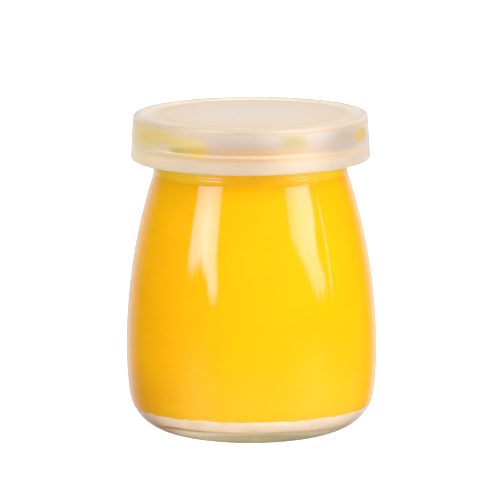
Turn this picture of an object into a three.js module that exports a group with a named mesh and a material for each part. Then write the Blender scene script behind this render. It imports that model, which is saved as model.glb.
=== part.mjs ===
// A small glass jar of yogurt with a push-fit plastic lid, standing on z = 0.
// Millimetres, +Z up. The origin is the middle of the ring that the jar stands on.
// Every piece is a body of revolution: a profile of (radius, height) points carried round Z.

import * as THREE from "three";

// Outside of the glass
const WIDEST_RADIUS = 30;
const WIDEST_HEIGHT = 18.6;
const BELLY_ARC = 136; // radius of the long curve from the widest ring up to the neck
const LOWER_ARC = 80; // radius of the curve from the widest ring down to the heel
const HEEL_ARC = 9.9;
const HEEL_CENTRE_HEIGHT = 9.7; // a little under HEEL_ARC, so the heel meets the table at a slant
const NECK_RADIUS = 23.15;
const NECK_ARC = 3; // hollow curve where the shoulder turns up into the neck

// Foot and floor of the glass
const FOOT_RING_WIDTH = 1.6; // flat ring that the jar stands on
const PUNT_DEPTH = 1.5; // how far the middle of the underside is pushed up
const PUNT_STEPS = 5;
const FLOOR_HEIGHT = 4.7;
const INNER_CORNER = 6.4;

// Wall and mouth of the glass
const WALL = 2.6;
const BEAD_RADIUS = 26.2; // the thick bead round the mouth, which the lid snaps over
const BEAD_BOTTOM = 68.9;
const BEAD_CORNER = 1.5;
const RIM_HEIGHT = 73.9;
const MOUTH_CORNER = 1.1;

// Lid
const FIT = 0.3; // clear space between pieces that touch
const LID_BOTTOM = 64.85;
const LID_TOP = 75.65;
const LID_FOOT_RADIUS = 28.5; // the skirt flares a little towards its foot
const LID_TOP_RADIUS = 27.95;
const LID_EDGE = 0.9; // rounding of the top edge
const LIP_EDGE = 0.6; // rounding of the skirt's foot
const SKIRT_FOOT_WALL = 1.3;
const SNAP_RADIUS = 25.7; // inward ridge that hooks under the bead
const SNAP_HEIGHT = 68.2;
const SNAP_REACH = 1.1; // half the height that the ridge takes on the skirt
const PANEL_RADIUS = 24.2; // shallow round panel in the middle of the top
const PANEL_DEPTH = 0.3;
const PANEL_SLOPE = 0.7;

// Contents: a thin pale layer on the floor, and yogurt on it up to the neck
const LAYER_HEIGHT = 6.35; // where the two meet at the glass
const LAYER_SWELL = 0.16; // height of the long waves in that line
const LAYER_RAGGED = 0.07; // height of the short ones
const FILL_LEVEL = 71.2;
const MENISCUS_RISE = 0.35; // how far the yogurt climbs at the glass
const MENISCUS_WIDTH = 1.6;
const FLOOR_CUT = 0.01; // the layer's wall starts this far above its flat floor

const STEPS_ROUND = 60;

const point = (radius, height) => new THREE.Vector2(radius, height);

// Points along an arc, from one angle to another, measured from the outward radius.
function arc(centre, radius, from, to, steps) {
  return Array.from({ length: steps + 1 }, (_, i) => {
    const angle = from + ((to - from) * i) / steps;
    return point(centre.x + radius * Math.cos(angle), centre.y + radius * Math.sin(angle));
  });
}

// The jar's side, set in from the outside of the glass by a given distance.
// It runs up a corner arc, the lower arc, the belly arc and the neck's hollow arc.
// Each arc touches the next, so their centres lie in line with the point where they meet.
function side(inset, cornerRadius, cornerHeight, cornerStart) {
  const lower = point(WIDEST_RADIUS - LOWER_ARC, WIDEST_HEIGHT);
  const lowerRadius = LOWER_ARC - inset;
  const cornerReach = lowerRadius - cornerRadius;
  const corner = point(
    lower.x + Math.sqrt(cornerReach ** 2 - (cornerHeight - lower.y) ** 2),
    cornerHeight,
  );
  const cornerEnd = corner.clone().sub(lower).angle() - 2 * Math.PI;

  const belly = point(WIDEST_RADIUS - BELLY_ARC, WIDEST_HEIGHT);
  const neckCentreRadius = NECK_RADIUS + NECK_ARC;
  const neck = point(
    neckCentreRadius,
    belly.y + Math.sqrt((BELLY_ARC + NECK_ARC) ** 2 - (neckCentreRadius - belly.x) ** 2),
  );
  const bellyEnd = neck.clone().sub(belly).angle();

  return [
    ...arc(corner, cornerRadius, cornerStart, cornerEnd, 8),
    ...arc(lower, lowerRadius, cornerEnd, 0, 3).slice(1),
    ...arc(belly, BELLY_ARC - inset, 0, bellyEnd, 8).slice(1),
    ...arc(neck, NECK_ARC + inset, bellyEnd + Math.PI, Math.PI, 3).slice(1),
  ];
}

// The outside of the glass, from the edge of the foot ring to the neck.
function outerSide() {
  const start = -Math.asin(HEEL_CENTRE_HEIGHT / HEEL_ARC);
  return side(0, HEEL_ARC, HEEL_CENTRE_HEIGHT, start);
}

// The inside of the glass, or a surface a little further in, from the floor to the neck.
function innerSide(gap = 0) {
  return side(WALL + gap, INNER_CORNER - gap, FLOOR_HEIGHT + INNER_CORNER, -Math.PI / 2);
}

// The stretch of a rising profile between two heights, with new points at its ends.
function between(profile, low, high) {
  const at = (height) => {
    const next = profile.findIndex((p) => p.y > height);
    const a = profile[next - 1];
    const b = profile[next];
    return a.clone().lerp(b, (height - a.y) / (b.y - a.y));
  };
  return [at(low), ...profile.filter((p) => p.y > low && p.y < high), at(high)];
}

// A profile carried round Z. Where shares are given, each point also moves up by
// its share of the ripple at that angle.
function turned(profile, shares = null, ripple = null) {
  const geometry = new THREE.LatheGeometry(profile, STEPS_ROUND);
  if (shares) {
    const places = geometry.getAttribute("position");
    for (let step = 0; step <= STEPS_ROUND; step += 1) {
      const lift = ripple((step % STEPS_ROUND) / STEPS_ROUND);
      for (let i = 0; i < profile.length; i += 1) {
        const vertex = step * profile.length + i;
        places.setY(vertex, places.getY(vertex) + shares[i] * lift);
      }
    }
  }
  return geometry.rotateX(Math.PI / 2);
}

// The uneven line where the pale layer meets the yogurt, as a height above or below its mean.
function layerRipple(turn) {
  const angle = turn * 2 * Math.PI;
  const swell = Math.sin(angle + 0.6) + 0.6 * Math.sin(3 * angle + 2.1);
  const ragged = Math.sin(11 * angle + 0.4) + 0.8 * Math.sin(17 * angle + 3.0);
  return LAYER_SWELL * swell + LAYER_RAGGED * ragged;
}

function jarProfile() {
  const outside = outerSide();
  const inside = innerSide();
  const footEdge = outside[0].x;
  const puntRadius = footEdge - FOOT_RING_WIDTH;
  const punt = Array.from({ length: PUNT_STEPS }, (_, i) => {
    const share = Math.sqrt(i / PUNT_STEPS);
    return point(puntRadius * share, PUNT_DEPTH * (1 - share ** 2));
  });
  const mouthRadius = inside.at(-1).x;
  const right = Math.PI / 2;
  return [
    ...punt,
    point(puntRadius, 0),
    point(footEdge, 0),
    ...outside.slice(1),
    point(NECK_RADIUS, BEAD_BOTTOM),
    ...arc(point(BEAD_RADIUS - BEAD_CORNER, BEAD_BOTTOM + BEAD_CORNER), BEAD_CORNER, -right, 0, 3),
    ...arc(point(BEAD_RADIUS - BEAD_CORNER, RIM_HEIGHT - BEAD_CORNER), BEAD_CORNER, 0, right, 3),
    ...arc(
      point(mouthRadius + MOUTH_CORNER, RIM_HEIGHT - MOUTH_CORNER),
      MOUTH_CORNER,
      right,
      2 * right,
      3,
    ),
    ...inside.reverse(),
    point(0, FLOOR_HEIGHT),
  ];
}

function lidProfile() {
  const underside = RIM_HEIGHT + FIT;
  const skirtRadius = BEAD_RADIUS + FIT;
  const right = Math.PI / 2;
  const lipOuter = point(LID_FOOT_RADIUS - LIP_EDGE, LID_BOTTOM + LIP_EDGE);
  const lipInner = point(LID_FOOT_RADIUS - SKIRT_FOOT_WALL, LID_BOTTOM + LIP_EDGE / 2);
  const topEdge = point(LID_TOP_RADIUS - LID_EDGE, LID_TOP - LID_EDGE);
  return [
    point(0, underside),
    point(skirtRadius - LID_EDGE, underside),
    point(skirtRadius, underside - LID_EDGE),
    point(skirtRadius, SNAP_HEIGHT + SNAP_REACH),
    point(SNAP_RADIUS, SNAP_HEIGHT + SNAP_REACH / 3),
    point(SNAP_RADIUS, SNAP_HEIGHT - SNAP_REACH / 3),
    point(skirtRadius, SNAP_HEIGHT - SNAP_REACH),
    lipInner,
    point(lipInner.x + LIP_EDGE / 2, LID_BOTTOM),
    ...arc(lipOuter, LIP_EDGE, -right, 0, 3),
    ...arc(topEdge, LID_EDGE, 0, right, 4),
    point(PANEL_RADIUS + PANEL_SLOPE, LID_TOP),
    point(PANEL_RADIUS, LID_TOP - PANEL_DEPTH),
    point(0, LID_TOP - PANEL_DEPTH),
  ];
}

function paleLayer() {
  const top = LAYER_HEIGHT - FIT / 2;
  const wall = between(innerSide(FIT), FLOOR_HEIGHT + FIT + FLOOR_CUT, top);
  const floor = [point(0, FLOOR_HEIGHT + FIT), point(wall[0].x, FLOOR_HEIGHT + FIT)];
  const surface = [0.8, 0.4, 0].map((share) => point(wall.at(-1).x * share, top));
  const profile = [...floor, ...wall.slice(1), ...surface];
  const shares = profile.map((p) => (p.y === top ? p.x / wall.at(-1).x : 0));
  return turned(profile, shares, layerRipple);
}

function yogurt() {
  const bottom = LAYER_HEIGHT + FIT / 2;
  const edge = FILL_LEVEL + MENISCUS_RISE;
  const rising = [...innerSide(FIT), point(NECK_RADIUS - WALL - FIT, RIM_HEIGHT)];
  const wall = between(rising, bottom, edge);
  const underside = [0, 0.4, 0.8].map((share) => point(wall[0].x * share, bottom));
  const meniscus = [0.7, 0.35].map((share) =>
    point(wall.at(-1).x - MENISCUS_WIDTH * (1 - share), FILL_LEVEL + MENISCUS_RISE * share ** 2),
  );
  const surface = [...meniscus, point(wall.at(-1).x - MENISCUS_WIDTH, FILL_LEVEL)];
  const profile = [...underside, ...wall, ...surface, point(0, FILL_LEVEL)];
  const shares = profile.map((p) => (p.y === bottom ? p.x / wall[0].x : 0));
  return turned(profile, shares, layerRipple);
}

function mesh(name, geometry, material) {
  const made = new THREE.Mesh(geometry, new THREE.MeshStandardMaterial(material));
  made.name = name;
  return made;
}

const jarOfYogurt = new THREE.Group();
jarOfYogurt.add(
  mesh("glass_jar", turned(jarProfile()), {
    color: "#e9f0ea",
    roughness: 0.03,
    metalness: 0,
    transparent: true,
    opacity: 0.35,
  }),
  mesh("snap_lid", turned(lidProfile()), {
    color: "#eedccb",
    roughness: 0.4,
    metalness: 0,
    transparent: true,
    opacity: 0.8,
  }),
  mesh("yogurt", yogurt(), { color: "#fdc31f", roughness: 0.35, metalness: 0 }),
  mesh("pale_layer", paleLayer(), { color: "#f1ddc0", roughness: 0.5, metalness: 0 }),
);

export default jarOfYogurt;
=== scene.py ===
"""A small clear glass jar of yellow yogurt with a frosted push-fit lid.

Lengths are in metres, +Z is up, and the jar's axis is Z. An angle round the axis is 0 at the
front, towards -Y, and grows towards +X.
"""

import math

import bpy
import numpy as np
from mathutils import Matrix, Vector


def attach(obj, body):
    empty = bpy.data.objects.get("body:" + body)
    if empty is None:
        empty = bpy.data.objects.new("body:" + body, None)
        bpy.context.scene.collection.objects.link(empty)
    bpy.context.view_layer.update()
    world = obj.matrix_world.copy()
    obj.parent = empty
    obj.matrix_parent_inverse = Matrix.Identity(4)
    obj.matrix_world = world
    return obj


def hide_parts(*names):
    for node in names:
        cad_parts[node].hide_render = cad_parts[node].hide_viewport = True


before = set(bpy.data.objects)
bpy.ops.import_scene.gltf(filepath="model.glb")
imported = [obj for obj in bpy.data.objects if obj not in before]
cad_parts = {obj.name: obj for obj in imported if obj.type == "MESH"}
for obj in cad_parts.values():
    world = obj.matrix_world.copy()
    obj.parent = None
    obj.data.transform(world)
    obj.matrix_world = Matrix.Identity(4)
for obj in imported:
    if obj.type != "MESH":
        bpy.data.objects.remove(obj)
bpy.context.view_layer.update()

MM = 0.001

# Outside of the glass
WIDEST_RADIUS = 30 * MM
WIDEST_HEIGHT = 18.6 * MM
BELLY_ARC = 136 * MM
LOWER_ARC = 80 * MM
HEEL_ARC = 9.9 * MM
HEEL_CENTRE_HEIGHT = 9.7 * MM
NECK_RADIUS = 23.15 * MM
NECK_ARC = 3 * MM
MOULD_RINGS = (62.35 * MM, 63.05 * MM, 63.75 * MM)  # heights of three faint rings on the neck
RING_SWELL = 0.07 * MM
RING_REACH = 0.22 * MM
RING_STEP = 0.07 * MM  # between points of the profile there

# Foot, floor, wall and mouth of the glass
FOOT_RING_WIDTH = 1.6 * MM
PUNT_DEPTH = 1.5 * MM
FLOOR_HEIGHT = 4.7 * MM
INNER_CORNER = 6.4 * MM
WALL = 2.6 * MM
BEAD_RADIUS = 26.2 * MM
BEAD_BOTTOM = 68.9 * MM
BEAD_CORNER = 1.5 * MM
RIM_HEIGHT = 73.9 * MM
MOUTH_CORNER = 1.1 * MM

# Lid
FIT = 0.3 * MM
LID_BOTTOM = 64.85 * MM
LID_TOP = 75.65 * MM
LID_FOOT_RADIUS = 28.5 * MM
LID_TOP_RADIUS = 27.95 * MM
LID_EDGE = 0.9 * MM
LIP_EDGE = 0.6 * MM
SKIRT_FOOT_WALL = 1.3 * MM
SNAP_RADIUS = 25.7 * MM
SNAP_HEIGHT = 68.2 * MM
SNAP_REACH = 1.1 * MM
PANEL_RADIUS = 24.2 * MM
PANEL_DEPTH = 0.3 * MM
PANEL_SLOPE = 0.7 * MM

# Contents, which reach a little into the glass so that no air shows between them
BITE = 0.15 * MM
LAYER_HEIGHT = 6.35 * MM
LAYER_SWELL = 0.16 * MM
LAYER_RAGGED = 0.07 * MM
LAYER_CRUMBS = 0.06 * MM
FILL_LEVEL = 71.2 * MM
MENISCUS_RISE = 0.35 * MM
MENISCUS_WIDTH = 1.6 * MM
FLOOR_CUT = 0.001 * MM  # the pale layer's wall starts this far above its flat underside
UNDERSIDE_START = 14 * MM  # from here outwards its underside shows, and has rings for its colours
UNDERSIDE_STEP = 0.25 * MM

AROUND = 240  # steps round the axis
FLAT_STEPS = 8  # rings on a flat face of the contents
SHARP_ANGLE = math.radians(38)  # edges sharper than this aren't smoothed
QUARTER = math.pi / 2


# Curves that the shapes and the colours share


def rise_between(value, low, high):
    """Smooth step: 0 up to low, 1 from high on."""
    share = np.clip((value - low) / (high - low), 0, 1)
    return share * share * (3 - 2 * share)


def hump(value, centre, reach):
    """Bell curve: 1 at the centre, 0.37 at the reach."""
    return np.exp(-(((value - centre) / reach) ** 2))


# Profiles: arrays of (radius, height) points


def arc(centre, radius, start, end, steps):
    """Points centre + radius (cos t, sin t), with t in equal steps from start to end."""
    t = np.linspace(start, end, steps + 1)
    return np.column_stack((centre[0] + radius * np.cos(t), centre[1] + radius * np.sin(t)))


def side(inset, corner_radius, corner_height, corner_start):
    """The jar's side, set in from the outside of the glass by inset.

    Four arcs, each touching the next: the corner, the lower arc up to the widest ring, the
    belly and the hollow of the neck. Where two arcs touch, their centres are as far apart as
    the difference of their radii, or the sum where one is hollow.
    """
    lower = np.array([WIDEST_RADIUS - LOWER_ARC, WIDEST_HEIGHT])
    lower_radius = LOWER_ARC - inset
    reach = lower_radius - corner_radius
    corner = np.array([lower[0] + math.sqrt(reach**2 - (corner_height - lower[1]) ** 2), corner_height])
    corner_end = math.atan2(*(corner - lower)[::-1])
    belly = np.array([WIDEST_RADIUS - BELLY_ARC, WIDEST_HEIGHT])
    neck_centre = NECK_RADIUS + NECK_ARC
    rise = math.sqrt((BELLY_ARC + NECK_ARC) ** 2 - (neck_centre - belly[0]) ** 2)
    neck = np.array([neck_centre, belly[1] + rise])
    belly_end = math.atan2(*(neck - belly)[::-1])
    return np.vstack(
        (
            arc(corner, corner_radius, corner_start, corner_end, 22),
            arc(lower, lower_radius, corner_end, 0, 8)[1:],
            arc(belly, BELLY_ARC - inset, 0, belly_end, 30)[1:],
            arc(neck, NECK_ARC + inset, belly_end + math.pi, math.pi, 7)[1:],
        )
    )


def outer_side():
    """The outside of the glass, from the foot ring's edge to the neck."""
    start = -math.asin(HEEL_CENTRE_HEIGHT / HEEL_ARC)
    return side(0, HEEL_ARC, HEEL_CENTRE_HEIGHT, start)


def inner_side(bite=0.0):
    """The inside of the glass from the floor to the neck, or a surface that bites into the glass."""
    return side(WALL - bite, INNER_CORNER + bite, FLOOR_HEIGHT + INNER_CORNER, -QUARTER)


def between(profile, low, high):
    """The stretch of a rising profile between two heights, with new points at both ends."""
    heights = profile[:, 1]
    ends = [(np.interp(z, heights, profile[:, 0]), z) for z in (low, high)]
    inside = profile[(heights > low) & (heights < high)]
    return np.vstack((ends[0], inside, ends[1]))


def jar_profile():
    """The whole section of the glass: underside, foot ring, outside, bead, rim, inside, floor."""
    outside = outer_side()
    inside = inner_side()
    foot_edge = outside[0, 0]
    punt_radius = foot_edge - FOOT_RING_WIDTH
    share = np.linspace(0, 1, 12)
    punt = np.column_stack((punt_radius * share, PUNT_DEPTH * (1 - share**2)))
    mouth_radius = inside[-1, 0]
    bead_low = (BEAD_RADIUS - BEAD_CORNER, BEAD_BOTTOM + BEAD_CORNER)
    bead_high = (BEAD_RADIUS - BEAD_CORNER, RIM_HEIGHT - BEAD_CORNER)
    mouth = (mouth_radius + MOUTH_CORNER, RIM_HEIGHT - MOUTH_CORNER)
    return np.vstack(
        (
            punt,
            (foot_edge, 0),
            outside[1:],
            mould_rings(outside[-1, 1]),
            (NECK_RADIUS, BEAD_BOTTOM),
            arc(bead_low, BEAD_CORNER, -QUARTER, 0, 8),
            arc(bead_high, BEAD_CORNER, 0, QUARTER, 8),
            arc(mouth, MOUTH_CORNER, QUARTER, math.pi, 8),
            inside[::-1],
            (0, FLOOR_HEIGHT),
        )
    )


def mould_rings(low):
    """The neck from a height upwards, which swells by a bell curve at each mould ring."""
    height = np.arange(low + RING_STEP, MOULD_RINGS[-1] + 3 * RING_REACH, RING_STEP)
    swell = sum(hump(height, ring, RING_REACH) for ring in MOULD_RINGS)
    return np.column_stack((NECK_RADIUS + RING_SWELL * swell, height))


def lid_profile():
    """The lid's section: underside, skirt with its snap ridge, rounded foot, side, edge, panel."""
    underside = RIM_HEIGHT + FIT
    skirt = BEAD_RADIUS + FIT
    lip_inner = (LID_FOOT_RADIUS - SKIRT_FOOT_WALL, LID_BOTTOM + LIP_EDGE / 2)
    return np.vstack(
        (
            (0, underside),
            arc((skirt - LID_EDGE, underside - LID_EDGE), LID_EDGE, QUARTER, 0, 6),
            (skirt, SNAP_HEIGHT + SNAP_REACH),
            (SNAP_RADIUS, SNAP_HEIGHT + SNAP_REACH / 3),
            (SNAP_RADIUS, SNAP_HEIGHT - SNAP_REACH / 3),
            (skirt, SNAP_HEIGHT - SNAP_REACH),
            lip_inner,
            (lip_inner[0] + LIP_EDGE / 2, LID_BOTTOM),
            arc((LID_FOOT_RADIUS - LIP_EDGE, LID_BOTTOM + LIP_EDGE), LIP_EDGE, -QUARTER, 0, 6),
            straight((LID_FOOT_RADIUS, LID_BOTTOM + LIP_EDGE), (LID_TOP_RADIUS, LID_TOP - LID_EDGE), 56),
            arc((LID_TOP_RADIUS - LID_EDGE, LID_TOP - LID_EDGE), LID_EDGE, 0, QUARTER, 10)[1:],
            straight((LID_TOP_RADIUS - LID_EDGE, LID_TOP), (PANEL_RADIUS + PANEL_SLOPE, LID_TOP), 6),
            (PANEL_RADIUS, LID_TOP - PANEL_DEPTH),
            straight((PANEL_RADIUS, LID_TOP - PANEL_DEPTH), (0, LID_TOP - PANEL_DEPTH), 40),
        )
    )


def straight(start, end, steps):
    """Points in equal steps along a straight line, without its first one."""
    share = np.linspace(0, 1, steps + 1)[1:, None]
    return np.array(start) + share * (np.array(end) - np.array(start))


# Meshes


def revolved(name, profile, lift=0.0):
    """A closed mesh from a profile that starts and ends on the axis.

    A point at radius r and height h is carried to (r sin a, -r cos a, h + lift), where lift is
    an array of heights for each profile point and each angle a.
    """
    angles = np.arange(AROUND) * (2 * math.pi / AROUND)
    radius, height = profile[1:-1].T
    x = np.outer(radius, np.sin(angles))
    y = -np.outer(radius, np.cos(angles))
    z = np.repeat(height[:, None], AROUND, axis=1) + np.broadcast_to(lift, (len(profile), AROUND))[1:-1]
    rings = np.stack((x, y, z), axis=-1).reshape(-1, 3)
    poles = np.array([(0, 0, profile[0, 1]), (0, 0, profile[-1, 1])])
    vertices = np.vstack((rings, poles))

    count = len(radius)
    here = np.arange(AROUND)
    following = (here + 1) % AROUND
    row = np.arange(count - 1)[:, None] * AROUND
    quads = np.stack((row + here, row + following, row + AROUND + following, row + AROUND + here), -1)
    last = (count - 1) * AROUND
    low_pole = np.full(AROUND, count * AROUND)
    low_fan = np.stack((low_pole, following, here), -1)
    high_fan = np.stack((low_pole + 1, last + here, last + following), -1)
    faces = quads.reshape(-1, 4).tolist() + low_fan.tolist() + high_fan.tolist()

    mesh = bpy.data.meshes.new(name)
    mesh.from_pydata(vertices.tolist(), [], faces)
    mesh.polygons.foreach_set("use_smooth", np.ones(len(faces), dtype=bool))
    mesh.set_sharp_from_angle(angle=SHARP_ANGLE)
    mesh.update()
    return placed(name, mesh)


def placed(name, data):
    """An object at the origin, linked to the scene."""
    made = bpy.data.objects.new(name, data)
    bpy.context.scene.collection.objects.link(made)
    return made


def vertices_of(piece):
    """The piece's vertices, one row of x, y and z for each."""
    points = np.zeros(len(piece.data.vertices) * 3, np.float32)
    piece.data.vertices.foreach_get("co", points)
    return points.reshape(-1, 3).astype(float)


def set_colours(piece, name, colours):
    """Keeps one colour for each vertex in a named attribute."""
    kept = piece.data.color_attributes.new(name, "FLOAT_COLOR", "POINT")
    kept.data.foreach_set("color", np.column_stack((colours, np.ones(len(colours)))).ravel())


# Materials


def linear(code):
    """An sRGB hex colour as linear red, green, blue and alpha."""
    parts = [int(code[i : i + 2], 16) / 255 for i in (1, 3, 5)]
    return (*[p / 12.92 if p <= 0.04045 else ((p + 0.055) / 1.055) ** 2.4 for p in parts], 1.0)


def plain(code, points):
    """One colour for every point, without its alpha."""
    return np.tile(linear(code)[:3], (len(points), 1))


def towards(colours, code, share):
    """The colours, each carried by its share of the way towards one other colour."""
    return colours + share[:, None] * (np.array(linear(code)[:3]) - colours)


def add(tree, kind, inputs=(), **settings):
    """Adds a node, sets its properties, and gives each input a value or a link."""
    made = tree.nodes.new(kind)
    for key, value in settings.items():
        setattr(made, key, value)
    for key, value in dict(inputs).items():
        if isinstance(value, bpy.types.NodeSocket):
            tree.links.new(value, made.inputs[key])
        else:
            made.inputs[key].default_value = value
    return made


def new_material(name):
    """A material with an empty tree, its output node and a Principled shader linked to it."""
    material = bpy.data.materials.new(name)
    material.use_nodes = True
    tree = material.node_tree
    tree.nodes.clear()
    shader = add(tree, "ShaderNodeBsdfPrincipled")
    add(tree, "ShaderNodeOutputMaterial", {"Surface": shader.outputs["BSDF"]})
    return material, tree, shader


def pressed_glass():
    """Pressed soda-lime glass: very smooth, with long faint waves from the mould.

    Its slight warm tint tells only through the thick base.
    """
    material, tree, shader = new_material("pressed_glass")
    shader.inputs["Base Color"].default_value = (1, 1, 1, 1)
    shader.inputs["Roughness"].default_value = 0.0
    shader.inputs["IOR"].default_value = 1.52
    shader.inputs["Transmission Weight"].default_value = 1.0
    place = add(tree, "ShaderNodeTexCoord")
    stretch = add(tree, "ShaderNodeMapping", {"Vector": place.outputs["Object"], "Scale": (1, 1, 0.35)})
    # One wave in about 9 mm round the jar, and three times that up it.
    waves = add(
        tree, "ShaderNodeTexNoise", {"Vector": stretch.outputs["Vector"], "Scale": 110.0, "Detail": 1.0}
    )
    bump = add(
        tree,
        "ShaderNodeBump",
        {"Height": waves.outputs["Fac"], "Strength": 0.12, "Distance": 0.4 * MM},
    )
    tree.links.new(bump.outputs["Normal"], shader.inputs["Normal"])
    depth = add(tree, "ShaderNodeVolumeAbsorption", {"Color": linear("#dedabc"), "Density": 20.0})
    tree.links.new(depth.outputs["Volume"], tree.nodes["Material Output"].inputs["Volume"])
    return material


def set_yogurt():
    """Smooth set fruit yogurt: opaque, deep yellow and faintly mottled.

    The attribute "tone" gives its colour at each place, painted shade and painted light included.
    """
    material, tree, shader = new_material("set_yogurt")
    place = add(tree, "ShaderNodeTexCoord")
    # Soft blotches about 12 mm across.
    blotch = add(
        tree, "ShaderNodeTexNoise", {"Vector": place.outputs["Object"], "Scale": 85.0, "Detail": 3.0}
    )
    tone = add(tree, "ShaderNodeAttribute", attribute_name="tone")
    mottled = add(
        tree,
        "ShaderNodeMix",
        {"Factor": blotch.outputs["Fac"], "A": tone.outputs["Color"], "B": linear("#fbf9f0")},
        data_type="RGBA",
        blend_type="MULTIPLY",
    )
    tree.links.new(mottled.outputs[2], shader.inputs["Base Color"])
    shader.inputs["Roughness"].default_value = 0.4
    shader.inputs["IOR"].default_value = 1.36
    shader.inputs["Specular IOR Level"].default_value = 0.02
    return material


def set_cream():
    """Pale set cream: matt, off-white with a touch of peach, cloudy, with painted shade along its foot.

    The clouds are lighter than the tone that the attribute "tone" gives each place, which holds painted
    shade and light too.
    """
    material, tree, shader = new_material("set_cream")
    place = add(tree, "ShaderNodeTexCoord")
    # Clouds about 4 mm across.
    cloud = add(
        tree, "ShaderNodeTexNoise", {"Vector": place.outputs["Object"], "Scale": 240.0, "Detail": 3.0}
    )
    tone = add(tree, "ShaderNodeAttribute", attribute_name="tone")
    clouded = add(
        tree,
        "ShaderNodeMix",
        {"Factor": cloud.outputs["Fac"], "A": tone.outputs["Color"], "B": linear("#ffffff")},
        data_type="RGBA",
        blend_type="SOFT_LIGHT",
    )
    tree.links.new(clouded.outputs[2], shader.inputs["Base Color"])
    shader.inputs["Roughness"].default_value = 0.55
    shader.inputs["Specular IOR Level"].default_value = 0.15
    return material


# What shows through the skirt, blurred, and a patch of painted light low on the left
PEACH_SHADE = "#dcc094"
LEMON_FIELD = "#ebd990"
WHITE_BLOT = "#e4dcc4"
GREEN_BLOT = "#c2b85a"
GOLD_BLOT = "#debe4c"
GREY_SHADE = "#beb4a4"
# painted light: lifts the skirt low on the left, lit through the plastic
PAINTED_LIGHT_LEFT_FOOT = "#fff0d6"

# Soft patches on the skirt: colour, how much of it, then the middle and half width in degrees
# round the axis, and the middle and half height in mm
LID_PATCHES = [
    (PEACH_SHADE, 0.8, 4, 30, 70.0, 1.35),
    (LEMON_FIELD, 0.95, -60, 30, 71.9, 2.6),
    (LEMON_FIELD, 0.9, -33, 12, 71.7, 1.3),
    (WHITE_BLOT, 0.95, -48, 6.5, 70.2, 1.0),
    (GREEN_BLOT, 1.0, -36, 5.0, 69.9, 0.75),
    # painted light low on the left of the skirt
    (PAINTED_LIGHT_LEFT_FOOT, 0.8, -68, 28, 66.6, 1.7),
    (GOLD_BLOT, 1.0, -26.5, 6.0, 69.9, 1.3),
    (GREEN_BLOT, 0.7, 21, 6.5, 72.5, 1.4),
    (GREY_SHADE, 0.6, 52, 8, 72.4, 1.7),
    (GOLD_BLOT, 0.85, 69, 8, 71.9, 1.6),
]


def patch(azimuth, height, middle, half_width, level, half_height):
    """1 inside a rounded patch and 0 outside, by exp(-(u^4 + v^4)) of the two scaled distances."""
    across = (azimuth - middle) / half_width
    up = (height - level) / half_height
    return np.exp(-(across**4 + up**4))


def lid_side_colours(z):
    """The skirt's tones up its height in mm, by what lies behind the wall.

    Milky plastic, a little greener at its foot. Above it comes an ochre line over the snap
    ridge, a grey band before the glass bead, paler upwards, a line of painted shade at the
    lid's inner corner, and a painted highlight along the top edge.
    """
    bead_low, bead_high, corner = BEAD_BOTTOM / MM, RIM_HEIGHT / MM, (RIM_HEIGHT + FIT) / MM
    bead = towards(plain("#b5aeaa", z), "#d5d2d2", np.clip((z - bead_low) / (bead_high - bead_low), 0, 1))
    colour = towards(plain("#d6cec2", z), "#e0dbc2", rise_between(-z, -65.8, -64.9))
    colour = towards(colour, "#cdb693", hump(z, SNAP_HEIGHT / MM + 0.22, 0.6))
    before_bead = rise_between(z, bead_low - 0.2, bead_low + 0.4)[:, None]
    colour = colour + before_bead * (bead - colour)
    # painted shade: a darker line at the lid's inner corner
    colour = towards(colour, "#bfb09e", hump(z, corner + 0.25, 0.55))
    # painted highlight along the rounded top edge
    return towards(colour, "#dfd0bf", rise_between(z, corner, LID_TOP / MM - 0.3))


def lid_top_colours(radius):
    """The top's tones by radius in mm: a panel from white to cream, a warm ring, then a pale one."""
    panel = PANEL_RADIUS / MM
    colour = towards(plain("#fff5e6", radius), "#ffecce", np.clip(radius / 20, 0, 1))
    colour = towards(colour, "#ffe0b2", hump(radius, panel - 2.5, 1.4))
    colour = towards(colour, "#fff7df", np.clip((radius - panel + 2) / 4, 0, 1))
    return towards(colour, "#e5c498", np.clip((radius - 26) / 2, 0, 1))


def lid_colours(points):
    """The lid's colour at each point: tones of the top or the skirt, with the patches over them.

    Towards both sides the skirt is painted lighter, a painted sheen where the eye looks along the plastic.
    """
    x, y, z = points.T / MM
    radius = np.hypot(x, y)
    azimuth = np.degrees(np.arctan2(x, -y))
    on_top = radius < LID_TOP_RADIUS / MM - 0.95
    colour = np.where(on_top[:, None], lid_top_colours(radius), lid_side_colours(z))
    # painted sheen: lighter towards both sides of the skirt
    along = 0.5 * rise_between(-azimuth, 50, 80) + 0.28 * rise_between(azimuth, 50, 80)
    colour = towards(colour, "#fff0dc", along * ~on_top)
    below_edge = z < LID_TOP / MM - 0.35
    for code, amount, *place in LID_PATCHES:
        colour = towards(colour, code, amount * patch(azimuth, z, *place) * below_edge)
    return colour


def frosted_polyethylene():
    """Moulded low-density polyethylene: milky, satin, with blurred shapes showing through."""
    material, tree, shader = new_material("frosted_polyethylene")
    tone = add(tree, "ShaderNodeAttribute", attribute_name="tone")
    tree.links.new(tone.outputs["Color"], shader.inputs["Base Color"])
    shader.inputs["Roughness"].default_value = 0.32
    shader.inputs["IOR"].default_value = 1.5
    shader.inputs["Transmission Weight"].default_value = 0.72
    place = add(tree, "ShaderNodeTexCoord")
    # Satin grain about 0.8 mm across, coarser than the real one so that it shows.
    grain = add(
        tree, "ShaderNodeTexNoise", {"Vector": place.outputs["Object"], "Scale": 1250.0, "Detail": 2.0}
    )
    bump = add(
        tree,
        "ShaderNodeBump",
        {"Height": grain.outputs["Fac"], "Strength": 0.1, "Distance": 0.05 * MM},
    )
    tree.links.new(bump.outputs["Normal"], shader.inputs["Normal"])
    return material


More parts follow.
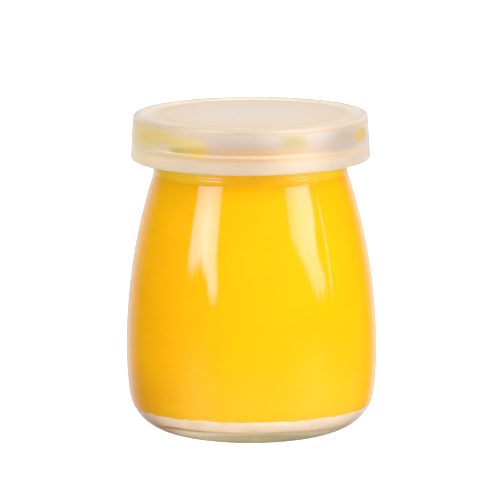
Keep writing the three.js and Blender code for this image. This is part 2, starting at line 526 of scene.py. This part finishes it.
def yogurt_colours(points):
    """The yogurt's colour at each point: painted shade low on the left, painted light at the neck's sides.

    The painted shade starts weakly below 50 mm and strongly below 20 mm.
    """
    x, y, z = points.T / MM
    azimuth = np.degrees(np.arctan2(x, -y))
    # painted shade: deeper orange and darker low on the left, where the light is weakest
    depth = 0.3 * rise_between(-z, -50, -30) + 0.7 * rise_between(-z, -20, -8)
    painted_shade_low_left = depth * rise_between(-azimuth, 25, 70)
    # painted light: paler at both sides of the neck, which the lid shades
    painted_light_neck_sides = rise_between(z, 60.5, 62.5) * rise_between(np.abs(azimuth), 8, 40)
    return towards(towards(plain("#fbc20b", points), "#e3a304", painted_shade_low_left), "#ffdf38", painted_light_neck_sides)


def cream_colours(points, bottom):
    """The cream's colour at each point, with a thin line of painted shade where its wall meets its
    underside.

    The line's radius is 20.4 mm in front and grows to both sides. It is strongest on the left,
    where the lower corner has painted shade too, in the same brown.
    Inside it the underside shows through the thick base in painted light and shade: a greenish
    grey, paler at both sides as painted glare, with a light ring and a dark one painted where
    the base bends the light into streaks.
    """
    x, y, z = points.T / MM
    radius = np.hypot(x, y)
    azimuth = np.degrees(np.arctan2(x, -y))
    above = z - bottom / MM
    line_radius = 20.4 + 1.2 * rise_between(-azimuth, 10, 60) + 0.8 * rise_between(azimuth, 30, 65)
    out = radius - line_radius
    beside = np.where(out < 0, out, np.maximum(out - 0.3, 0))
    # painted shade: a dark brown line at the joint of wall and underside, strongest on the left
    strength = 0.2 + 0.65 * hump(azimuth, -50, 28)
    line = strength * hump(beside, 0, 0.6) * rise_between(-above, -0.5, -0.25)
    # painted shade: the lower left corner is darkened brown
    corner = 0.6 * rise_between(-azimuth, 46, 64) * (1 - 0.35 * above)
    # painted light and shade on the underside seen through the base: greenish grey, paler sides as glare,
    # light and dark refraction rings
    inside = rise_between(-out, 0.3, 0.9) * (above < 0.1)
    pale = rise_between(-azimuth, 8, 38) + rise_between(azimuth, 22, 52)
    painted_refraction_rings = 1 + 0.1 * hump(radius, 18.9, 0.7) - 0.14 * hump(radius, 17.2, 0.9)
    underside = painted_refraction_rings[:, None] * towards(plain("#cac2ac", points), "#ddd2c9", pale)
    colour = plain("#e4cbb2", points)
    colour = colour + inside[:, None] * (underside - colour)
    # the brown of the painted shade line and corner
    return towards(colour, "#8f5a22", np.maximum(line, corner))


# Pieces


def layer_ripple(angles):
    """The uneven line between the two layers: long waves, short ones, and small crumbs."""
    swell = np.sin(angles + 0.6) + 0.6 * np.sin(3 * angles + 2.1)
    ragged = np.sin(11 * angles + 0.4) + 0.8 * np.sin(17 * angles + 3.0)
    crumbs = np.sin(29 * angles + 1.0) + np.sin(41 * angles + 2.0) + 0.8 * np.sin(59 * angles + 0.5)
    return LAYER_SWELL * swell + LAYER_RAGGED * ragged + LAYER_CRUMBS * crumbs


def layer_lift(profile, height):
    """The ripple on the points of a profile at one height, growing from the axis outwards."""
    share = np.where(profile[:, 1] == height, profile[:, 0] / profile[:, 0].max(), 0.0)
    angles = np.arange(AROUND) * (2 * math.pi / AROUND)
    return share[:, None] * layer_ripple(angles)[None, :]


def make_jar():
    """The glass: its whole section carried round the axis."""
    jar = revolved("glass_jar_piece", jar_profile())
    jar.data.materials.append(pressed_glass())
    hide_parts("glass_jar")
    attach(jar, "root")


def make_lid():
    """The lid: its section carried round the axis, with its tones kept for each vertex."""
    lid = revolved("snap_lid_piece", lid_profile())
    set_colours(lid, "tone", lid_colours(vertices_of(lid)))
    lid.data.materials.append(frosted_polyethylene())
    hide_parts("snap_lid")
    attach(lid, "root")


def make_yogurt():
    """The filling: a rippled underside, the inside of the glass, and a surface that climbs at it.

    The surface rises by the square of the share of the way across the climb's width.
    """
    wall_line = np.vstack((inner_side(BITE), (NECK_RADIUS - WALL + BITE, RIM_HEIGHT)))
    wall = between(wall_line, LAYER_HEIGHT, FILL_LEVEL + MENISCUS_RISE)
    edge = wall[-1, 0] - BITE
    share = np.linspace(1, 0, FLAT_STEPS)[:, None]
    climb = np.hstack((edge - MENISCUS_WIDTH * (1 - share), FILL_LEVEL + MENISCUS_RISE * share**2))
    underside = wall[0, 0] * np.linspace(0, 1, FLAT_STEPS)[:-1, None]
    underside = np.hstack((underside, np.full_like(underside, LAYER_HEIGHT)))
    profile = np.vstack((underside, wall, climb, (0, FILL_LEVEL)))
    yogurt = revolved("yogurt_piece", profile, layer_lift(profile, LAYER_HEIGHT))
    set_colours(yogurt, "tone", yogurt_colours(vertices_of(yogurt)))
    yogurt.data.materials.append(set_yogurt())
    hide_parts("yogurt")
    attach(yogurt, "root")


def make_pale_layer():
    """The layer on the floor: a flat underside, the inside of the glass, and a rippled top."""
    bottom = FLOOR_HEIGHT - BITE
    wall = between(inner_side(BITE), bottom + FLOOR_CUT, LAYER_HEIGHT)
    radii = np.append(0, np.arange(UNDERSIDE_START, wall[0, 0] - 0.1 * MM, UNDERSIDE_STEP))
    underside = np.column_stack((radii, np.full(len(radii), bottom)))
    surface = wall[-1, 0] * np.linspace(1, 0, FLAT_STEPS)[1:, None]
    surface = np.hstack((surface, np.full_like(surface, LAYER_HEIGHT)))
    profile = np.vstack((underside, wall, surface))
    layer = revolved("pale_layer_piece", profile, layer_lift(profile, LAYER_HEIGHT))
    set_colours(layer, "tone", cream_colours(vertices_of(layer), bottom))
    layer.data.materials.append(set_cream())
    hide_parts("pale_layer")
    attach(layer, "root")


# Stage: floor, lights, camera, and the room that the jar reflects

AIM = Vector((-0.25 * MM, 0, 42.45 * MM))
CAMERA_DISTANCE = 1.0
CAMERA_RISE = math.radians(10.1)
CAMERA_ROLL = math.radians(0.3)
PIXELS_PER_METRE = 4183  # at the aim point, in a frame of 500 pixels
FRAME_PIXELS = 500
SENSOR_WIDTH = 36.0  # in mm, as Blender counts it
LIGHT_DISTANCE = 0.9
LIGHT_SIZE = 0.8
FLOOR_DROP = 0.03 * MM  # below the foot ring, so that the two faces don't coincide
FLOOR_DEPTH = 1 * MM
FLOOR_RINGS = (0, 10, 20, 20.8, 21.1, 21.4, 21.7, 22, 30, 100, 500, 4000)  # radii in mm
SHADE_START = 20.9 * MM  # the tone under the jar fades out from here, across the foot's edge
SHADE_END = 21.9 * MM
FLOOR_GLOW = 0.35
ROOM_RADIUS = 3.0
ROOM_DARK = 0.01
WINDOW_RADIUS = 2.5


def place_camera():
    """A long lens at the photograph's height, rolled so that the jar leans a little to the left."""
    ahead = Vector((0, math.cos(CAMERA_RISE), -math.sin(CAMERA_RISE)))
    right = Vector((1, 0, 0))
    up = right.cross(ahead)
    rolled_right = right * math.cos(CAMERA_ROLL) - up * math.sin(CAMERA_ROLL)
    rolled_up = up * math.cos(CAMERA_ROLL) + right * math.sin(CAMERA_ROLL)
    data = bpy.data.cameras.new("view")
    data.sensor_width = SENSOR_WIDTH
    data.lens = PIXELS_PER_METRE * CAMERA_DISTANCE * data.sensor_width / FRAME_PIXELS
    data.clip_start = 0.01
    data.clip_end = 20
    camera = placed("view", data)
    turn = Matrix((rolled_right, rolled_up, -ahead)).transposed()
    camera.matrix_world = Matrix.Translation(AIM - ahead * CAMERA_DISTANCE) @ turn.to_4x4()
    bpy.context.scene.camera = camera


def softbox(name, azimuth, rise, radiance):
    """A square white light that faces the jar from an angle round it and an angle above it.

    Its power is pi times its radiance times its area. Reflections don't show it.
    """
    data = bpy.data.lights.new(name, "AREA")
    data.size = LIGHT_SIZE
    data.energy = radiance * math.pi * LIGHT_SIZE**2
    light = placed(name, data)
    a, e = math.radians(azimuth), math.radians(rise)
    out = Vector((math.sin(a) * math.cos(e), -math.cos(a) * math.cos(e), math.sin(e)))
    light.location = AIM + out * LIGHT_DISTANCE
    light.rotation_mode = "QUATERNION"
    light.rotation_quaternion = out.to_track_quat("Z", "Y")
    light.visible_glossy = False
    light.visible_camera = False


def white_floor():
    """A matt white floor that glows, so that it stays near white. Reflections don't show it.

    Under the jar its glow is painted light and shade for the light the jar lets through: a little
    yellower than outside, and stronger at the front left as a painted glare.
    The rings of the floor, (r sin a, -r cos a, just under 0), keep that in the attribute "glow".
    """
    material, tree, shader = new_material("floor_white")
    glow = add(tree, "ShaderNodeAttribute", attribute_name="glow")
    tree.links.new(glow.outputs["Color"], shader.inputs["Emission Color"])
    tree.links.new(glow.outputs["Color"], shader.inputs["Base Color"])
    shader.inputs["Roughness"].default_value = 0.9
    shader.inputs["Specular IOR Level"].default_value = 0.0
    shader.inputs["Emission Strength"].default_value = 3.0
    radii = np.array(FLOOR_RINGS) * MM
    profile = np.column_stack((radii, np.full(len(radii), -FLOOR_DROP)))
    floor = revolved("floor", np.vstack((profile, (0, -FLOOR_DROP - FLOOR_DEPTH))))
    x, y, _ = vertices_of(floor).T
    # painted light and shade under the jar: a yellower glow, raised at the front left as glare
    outside = rise_between(np.hypot(x, y), SHADE_START, SHADE_END)[:, None]
    front_left = hump(np.degrees(np.arctan2(x, -y)), -35, 30)[:, None]
    shade = plain("#a29b86", x) * (1 + 0.5 * front_left)
    set_colours(floor, "glow", shade + outside * (FLOOR_GLOW - shade))
    floor.data.materials.append(material)
    floor.visible_glossy = False


def studio_air():
    """Even white light from all round, which reflections don't show."""
    world = bpy.data.worlds.new("studio")
    bpy.context.scene.world = world
    world.use_nodes = True
    world.node_tree.nodes["Background"].inputs["Color"].default_value = (1, 1, 1, 1)
    world.node_tree.nodes["Background"].inputs["Strength"].default_value = 1.0
    world.cycles_visibility.glossy = False


def waver(value, seed):
    """A smooth random line about 0: a sum of six sine waves, each shorter and weaker than the last."""
    starts = np.random.default_rng(seed).uniform(0, 2 * math.pi, 6)
    waves = [np.sin(value * (1.7**i) + start) / (1.25**i) for i, start in enumerate(starts)]
    return sum(waves) / 3


def room_glow(azimuth, rise):
    """Brightness of the room that the glass reflects, by direction in degrees.

    It is white behind the jar, a little less so straight behind it, and dark elsewhere at the
    jar's height and above. Below that it is pale in front and at the sides: least on the left,
    and most under the two windows.
    """
    turn = np.abs(azimuth)
    wall_start = np.where(azimuth < 0, 118, 130)
    white = 1.1 - 0.25 * rise_between(turn, 155, 168)
    wall = white * rise_between(turn, wall_start, 162) * rise_between(rise, -34, -13)
    left_gap = 1 - 0.85 * hump(azimuth, -108, 32)
    not_behind = rise_between(-turn, -145, -105)
    below = 0.45 * rise_between(-rise, 3, 28) * (left_gap * not_behind)
    under_windows = 0.30 * hump(azimuth, -50, 15) + 0.36 * hump(azimuth, 60, 20)
    return ROOM_DARK + wall + below + under_windows * rise_between(-rise, 1, 14)


def left_window_glow(azimuth, rise):
    """A tall window with a bright right half, a dimmer top, and a ragged foot notched in its middle.

    Each edge is a smooth step, and the foot is the rise at which the light begins.
    """
    right_edge = -34.0 + 2.5 * rise_between(-rise, -12, -7)
    sides = rise_between(azimuth, -66, -63.5) * rise_between(right_edge - azimuth, -1.5, 2.5)
    notch = 2.4 * hump(azimuth, -51, 4.5)
    low_corner = 4.2 * rise_between(azimuth, -44, -39)
    crumbled = 1.6 * waver(azimuth * 3.1, 5) * rise_between(-azimuth, 50, 56)
    foot = 8.6 + notch - low_corner
    foot += 1.1 * waver(azimuth * 1.1, 3) + crumbled
    bright_half = 6.7 + 4.3 * hump(azimuth, -48.5, 7)
    dim_top = 1 - 0.35 * rise_between(rise, 17, 27)
    return bright_half * dim_top * sides * rise_between(rise, foot - 3, foot + 2)


def right_window_glow(azimuth, rise):
    """A window whose lower left corner is cut off, and a thin bright line to its right."""
    left_edge = rise_between(azimuth, 39.5, 44) * (0.45 + 0.55 * rise_between(azimuth, 43, 58))
    right_edge = 70.0 + 3.0 * rise_between(rise, 12, 17) + 5.0 * rise_between(-rise, -9, -4)
    sides = left_edge * rise_between(right_edge - azimuth, -2, 2)
    cut_corner = np.maximum(13.5 - 0.62 * (azimuth - 46), 2.8)
    foot = cut_corner + 1.8 * waver(azimuth * 1.2, 8)
    level = 7.1 * (0.66 + 0.34 * rise_between(rise, 6, 15))
    line = 3.0 * hump(azimuth, 82, 1.3) * rise_between(rise, 0, 3) * rise_between(-rise, -20, -14)
    return level * sides * rise_between(rise, foot - 2, foot + 2) + line


def glowing_sheet(name, radius, azimuths, rises, brightness, colour):
    """Part of a sphere round the jar that only reflections show.

    The point for azimuth a and rise e is radius (cos e sin a, -cos e cos a, sin e), and its
    brightness is kept in the attribute "glow".
    """
    rise, azimuth = np.meshgrid(rises, azimuths, indexing="ij")
    a, e = np.radians(azimuth), np.radians(rise)
    points = radius * np.stack((np.cos(e) * np.sin(a), -np.cos(e) * np.cos(a), np.sin(e)), -1)
    columns = len(azimuths)
    corner = (np.arange(len(rises) - 1)[:, None] * columns + np.arange(columns - 1)).ravel()
    faces = np.stack((corner, corner + 1, corner + columns + 1, corner + columns), -1)
    mesh = bpy.data.meshes.new(name)
    mesh.from_pydata(points.reshape(-1, 3).tolist(), [], faces.tolist())
    glow = mesh.attributes.new("glow", "FLOAT", "POINT")
    glow.data.foreach_set("value", brightness(azimuth, rise).ravel().astype(np.float32))
    sheet = placed(name, mesh)

    material = bpy.data.materials.new(name)
    material.use_nodes = True
    material.cycles.emission_sampling = "NONE"
    tree = material.node_tree
    tree.nodes.clear()
    level = add(tree, "ShaderNodeAttribute", attribute_name="glow")
    light = add(tree, "ShaderNodeEmission", {"Color": linear(colour), "Strength": level.outputs["Fac"]})
    add(tree, "ShaderNodeOutputMaterial", {"Surface": light.outputs["Emission"]})
    mesh.materials.append(material)
    for way in ("camera", "diffuse", "transmission", "volume_scatter", "shadow"):
        setattr(sheet, "visible_" + way, False)


def reflected_room():
    """The room and its two windows, as the glass shows them."""
    whole = np.linspace(-180, 180, 241)
    glowing_sheet("room", ROOM_RADIUS, whole, np.linspace(-90, 90, 121), room_glow, "#dfe6ff")
    left = np.linspace(-68, -32, 145)
    glowing_sheet("left_window", WINDOW_RADIUS, left, np.linspace(2, 50, 193), left_window_glow, "#ffccff")
    right = np.linspace(40, 86, 185)
    rises = np.linspace(-2, 50, 209)
    glowing_sheet("right_window", WINDOW_RADIUS, right, rises, right_window_glow, "#ffc6ff")


make_jar()
make_yogurt()
make_pale_layer()
make_lid()
white_floor()
studio_air()
softbox("key", 46, 15, 7.9)
softbox("fill", -62, 12, 3.2)
softbox("back", 180, 7, 1.3)
reflected_room()
place_camera()
bpy.context.scene.view_settings.view_transform = "Standard"
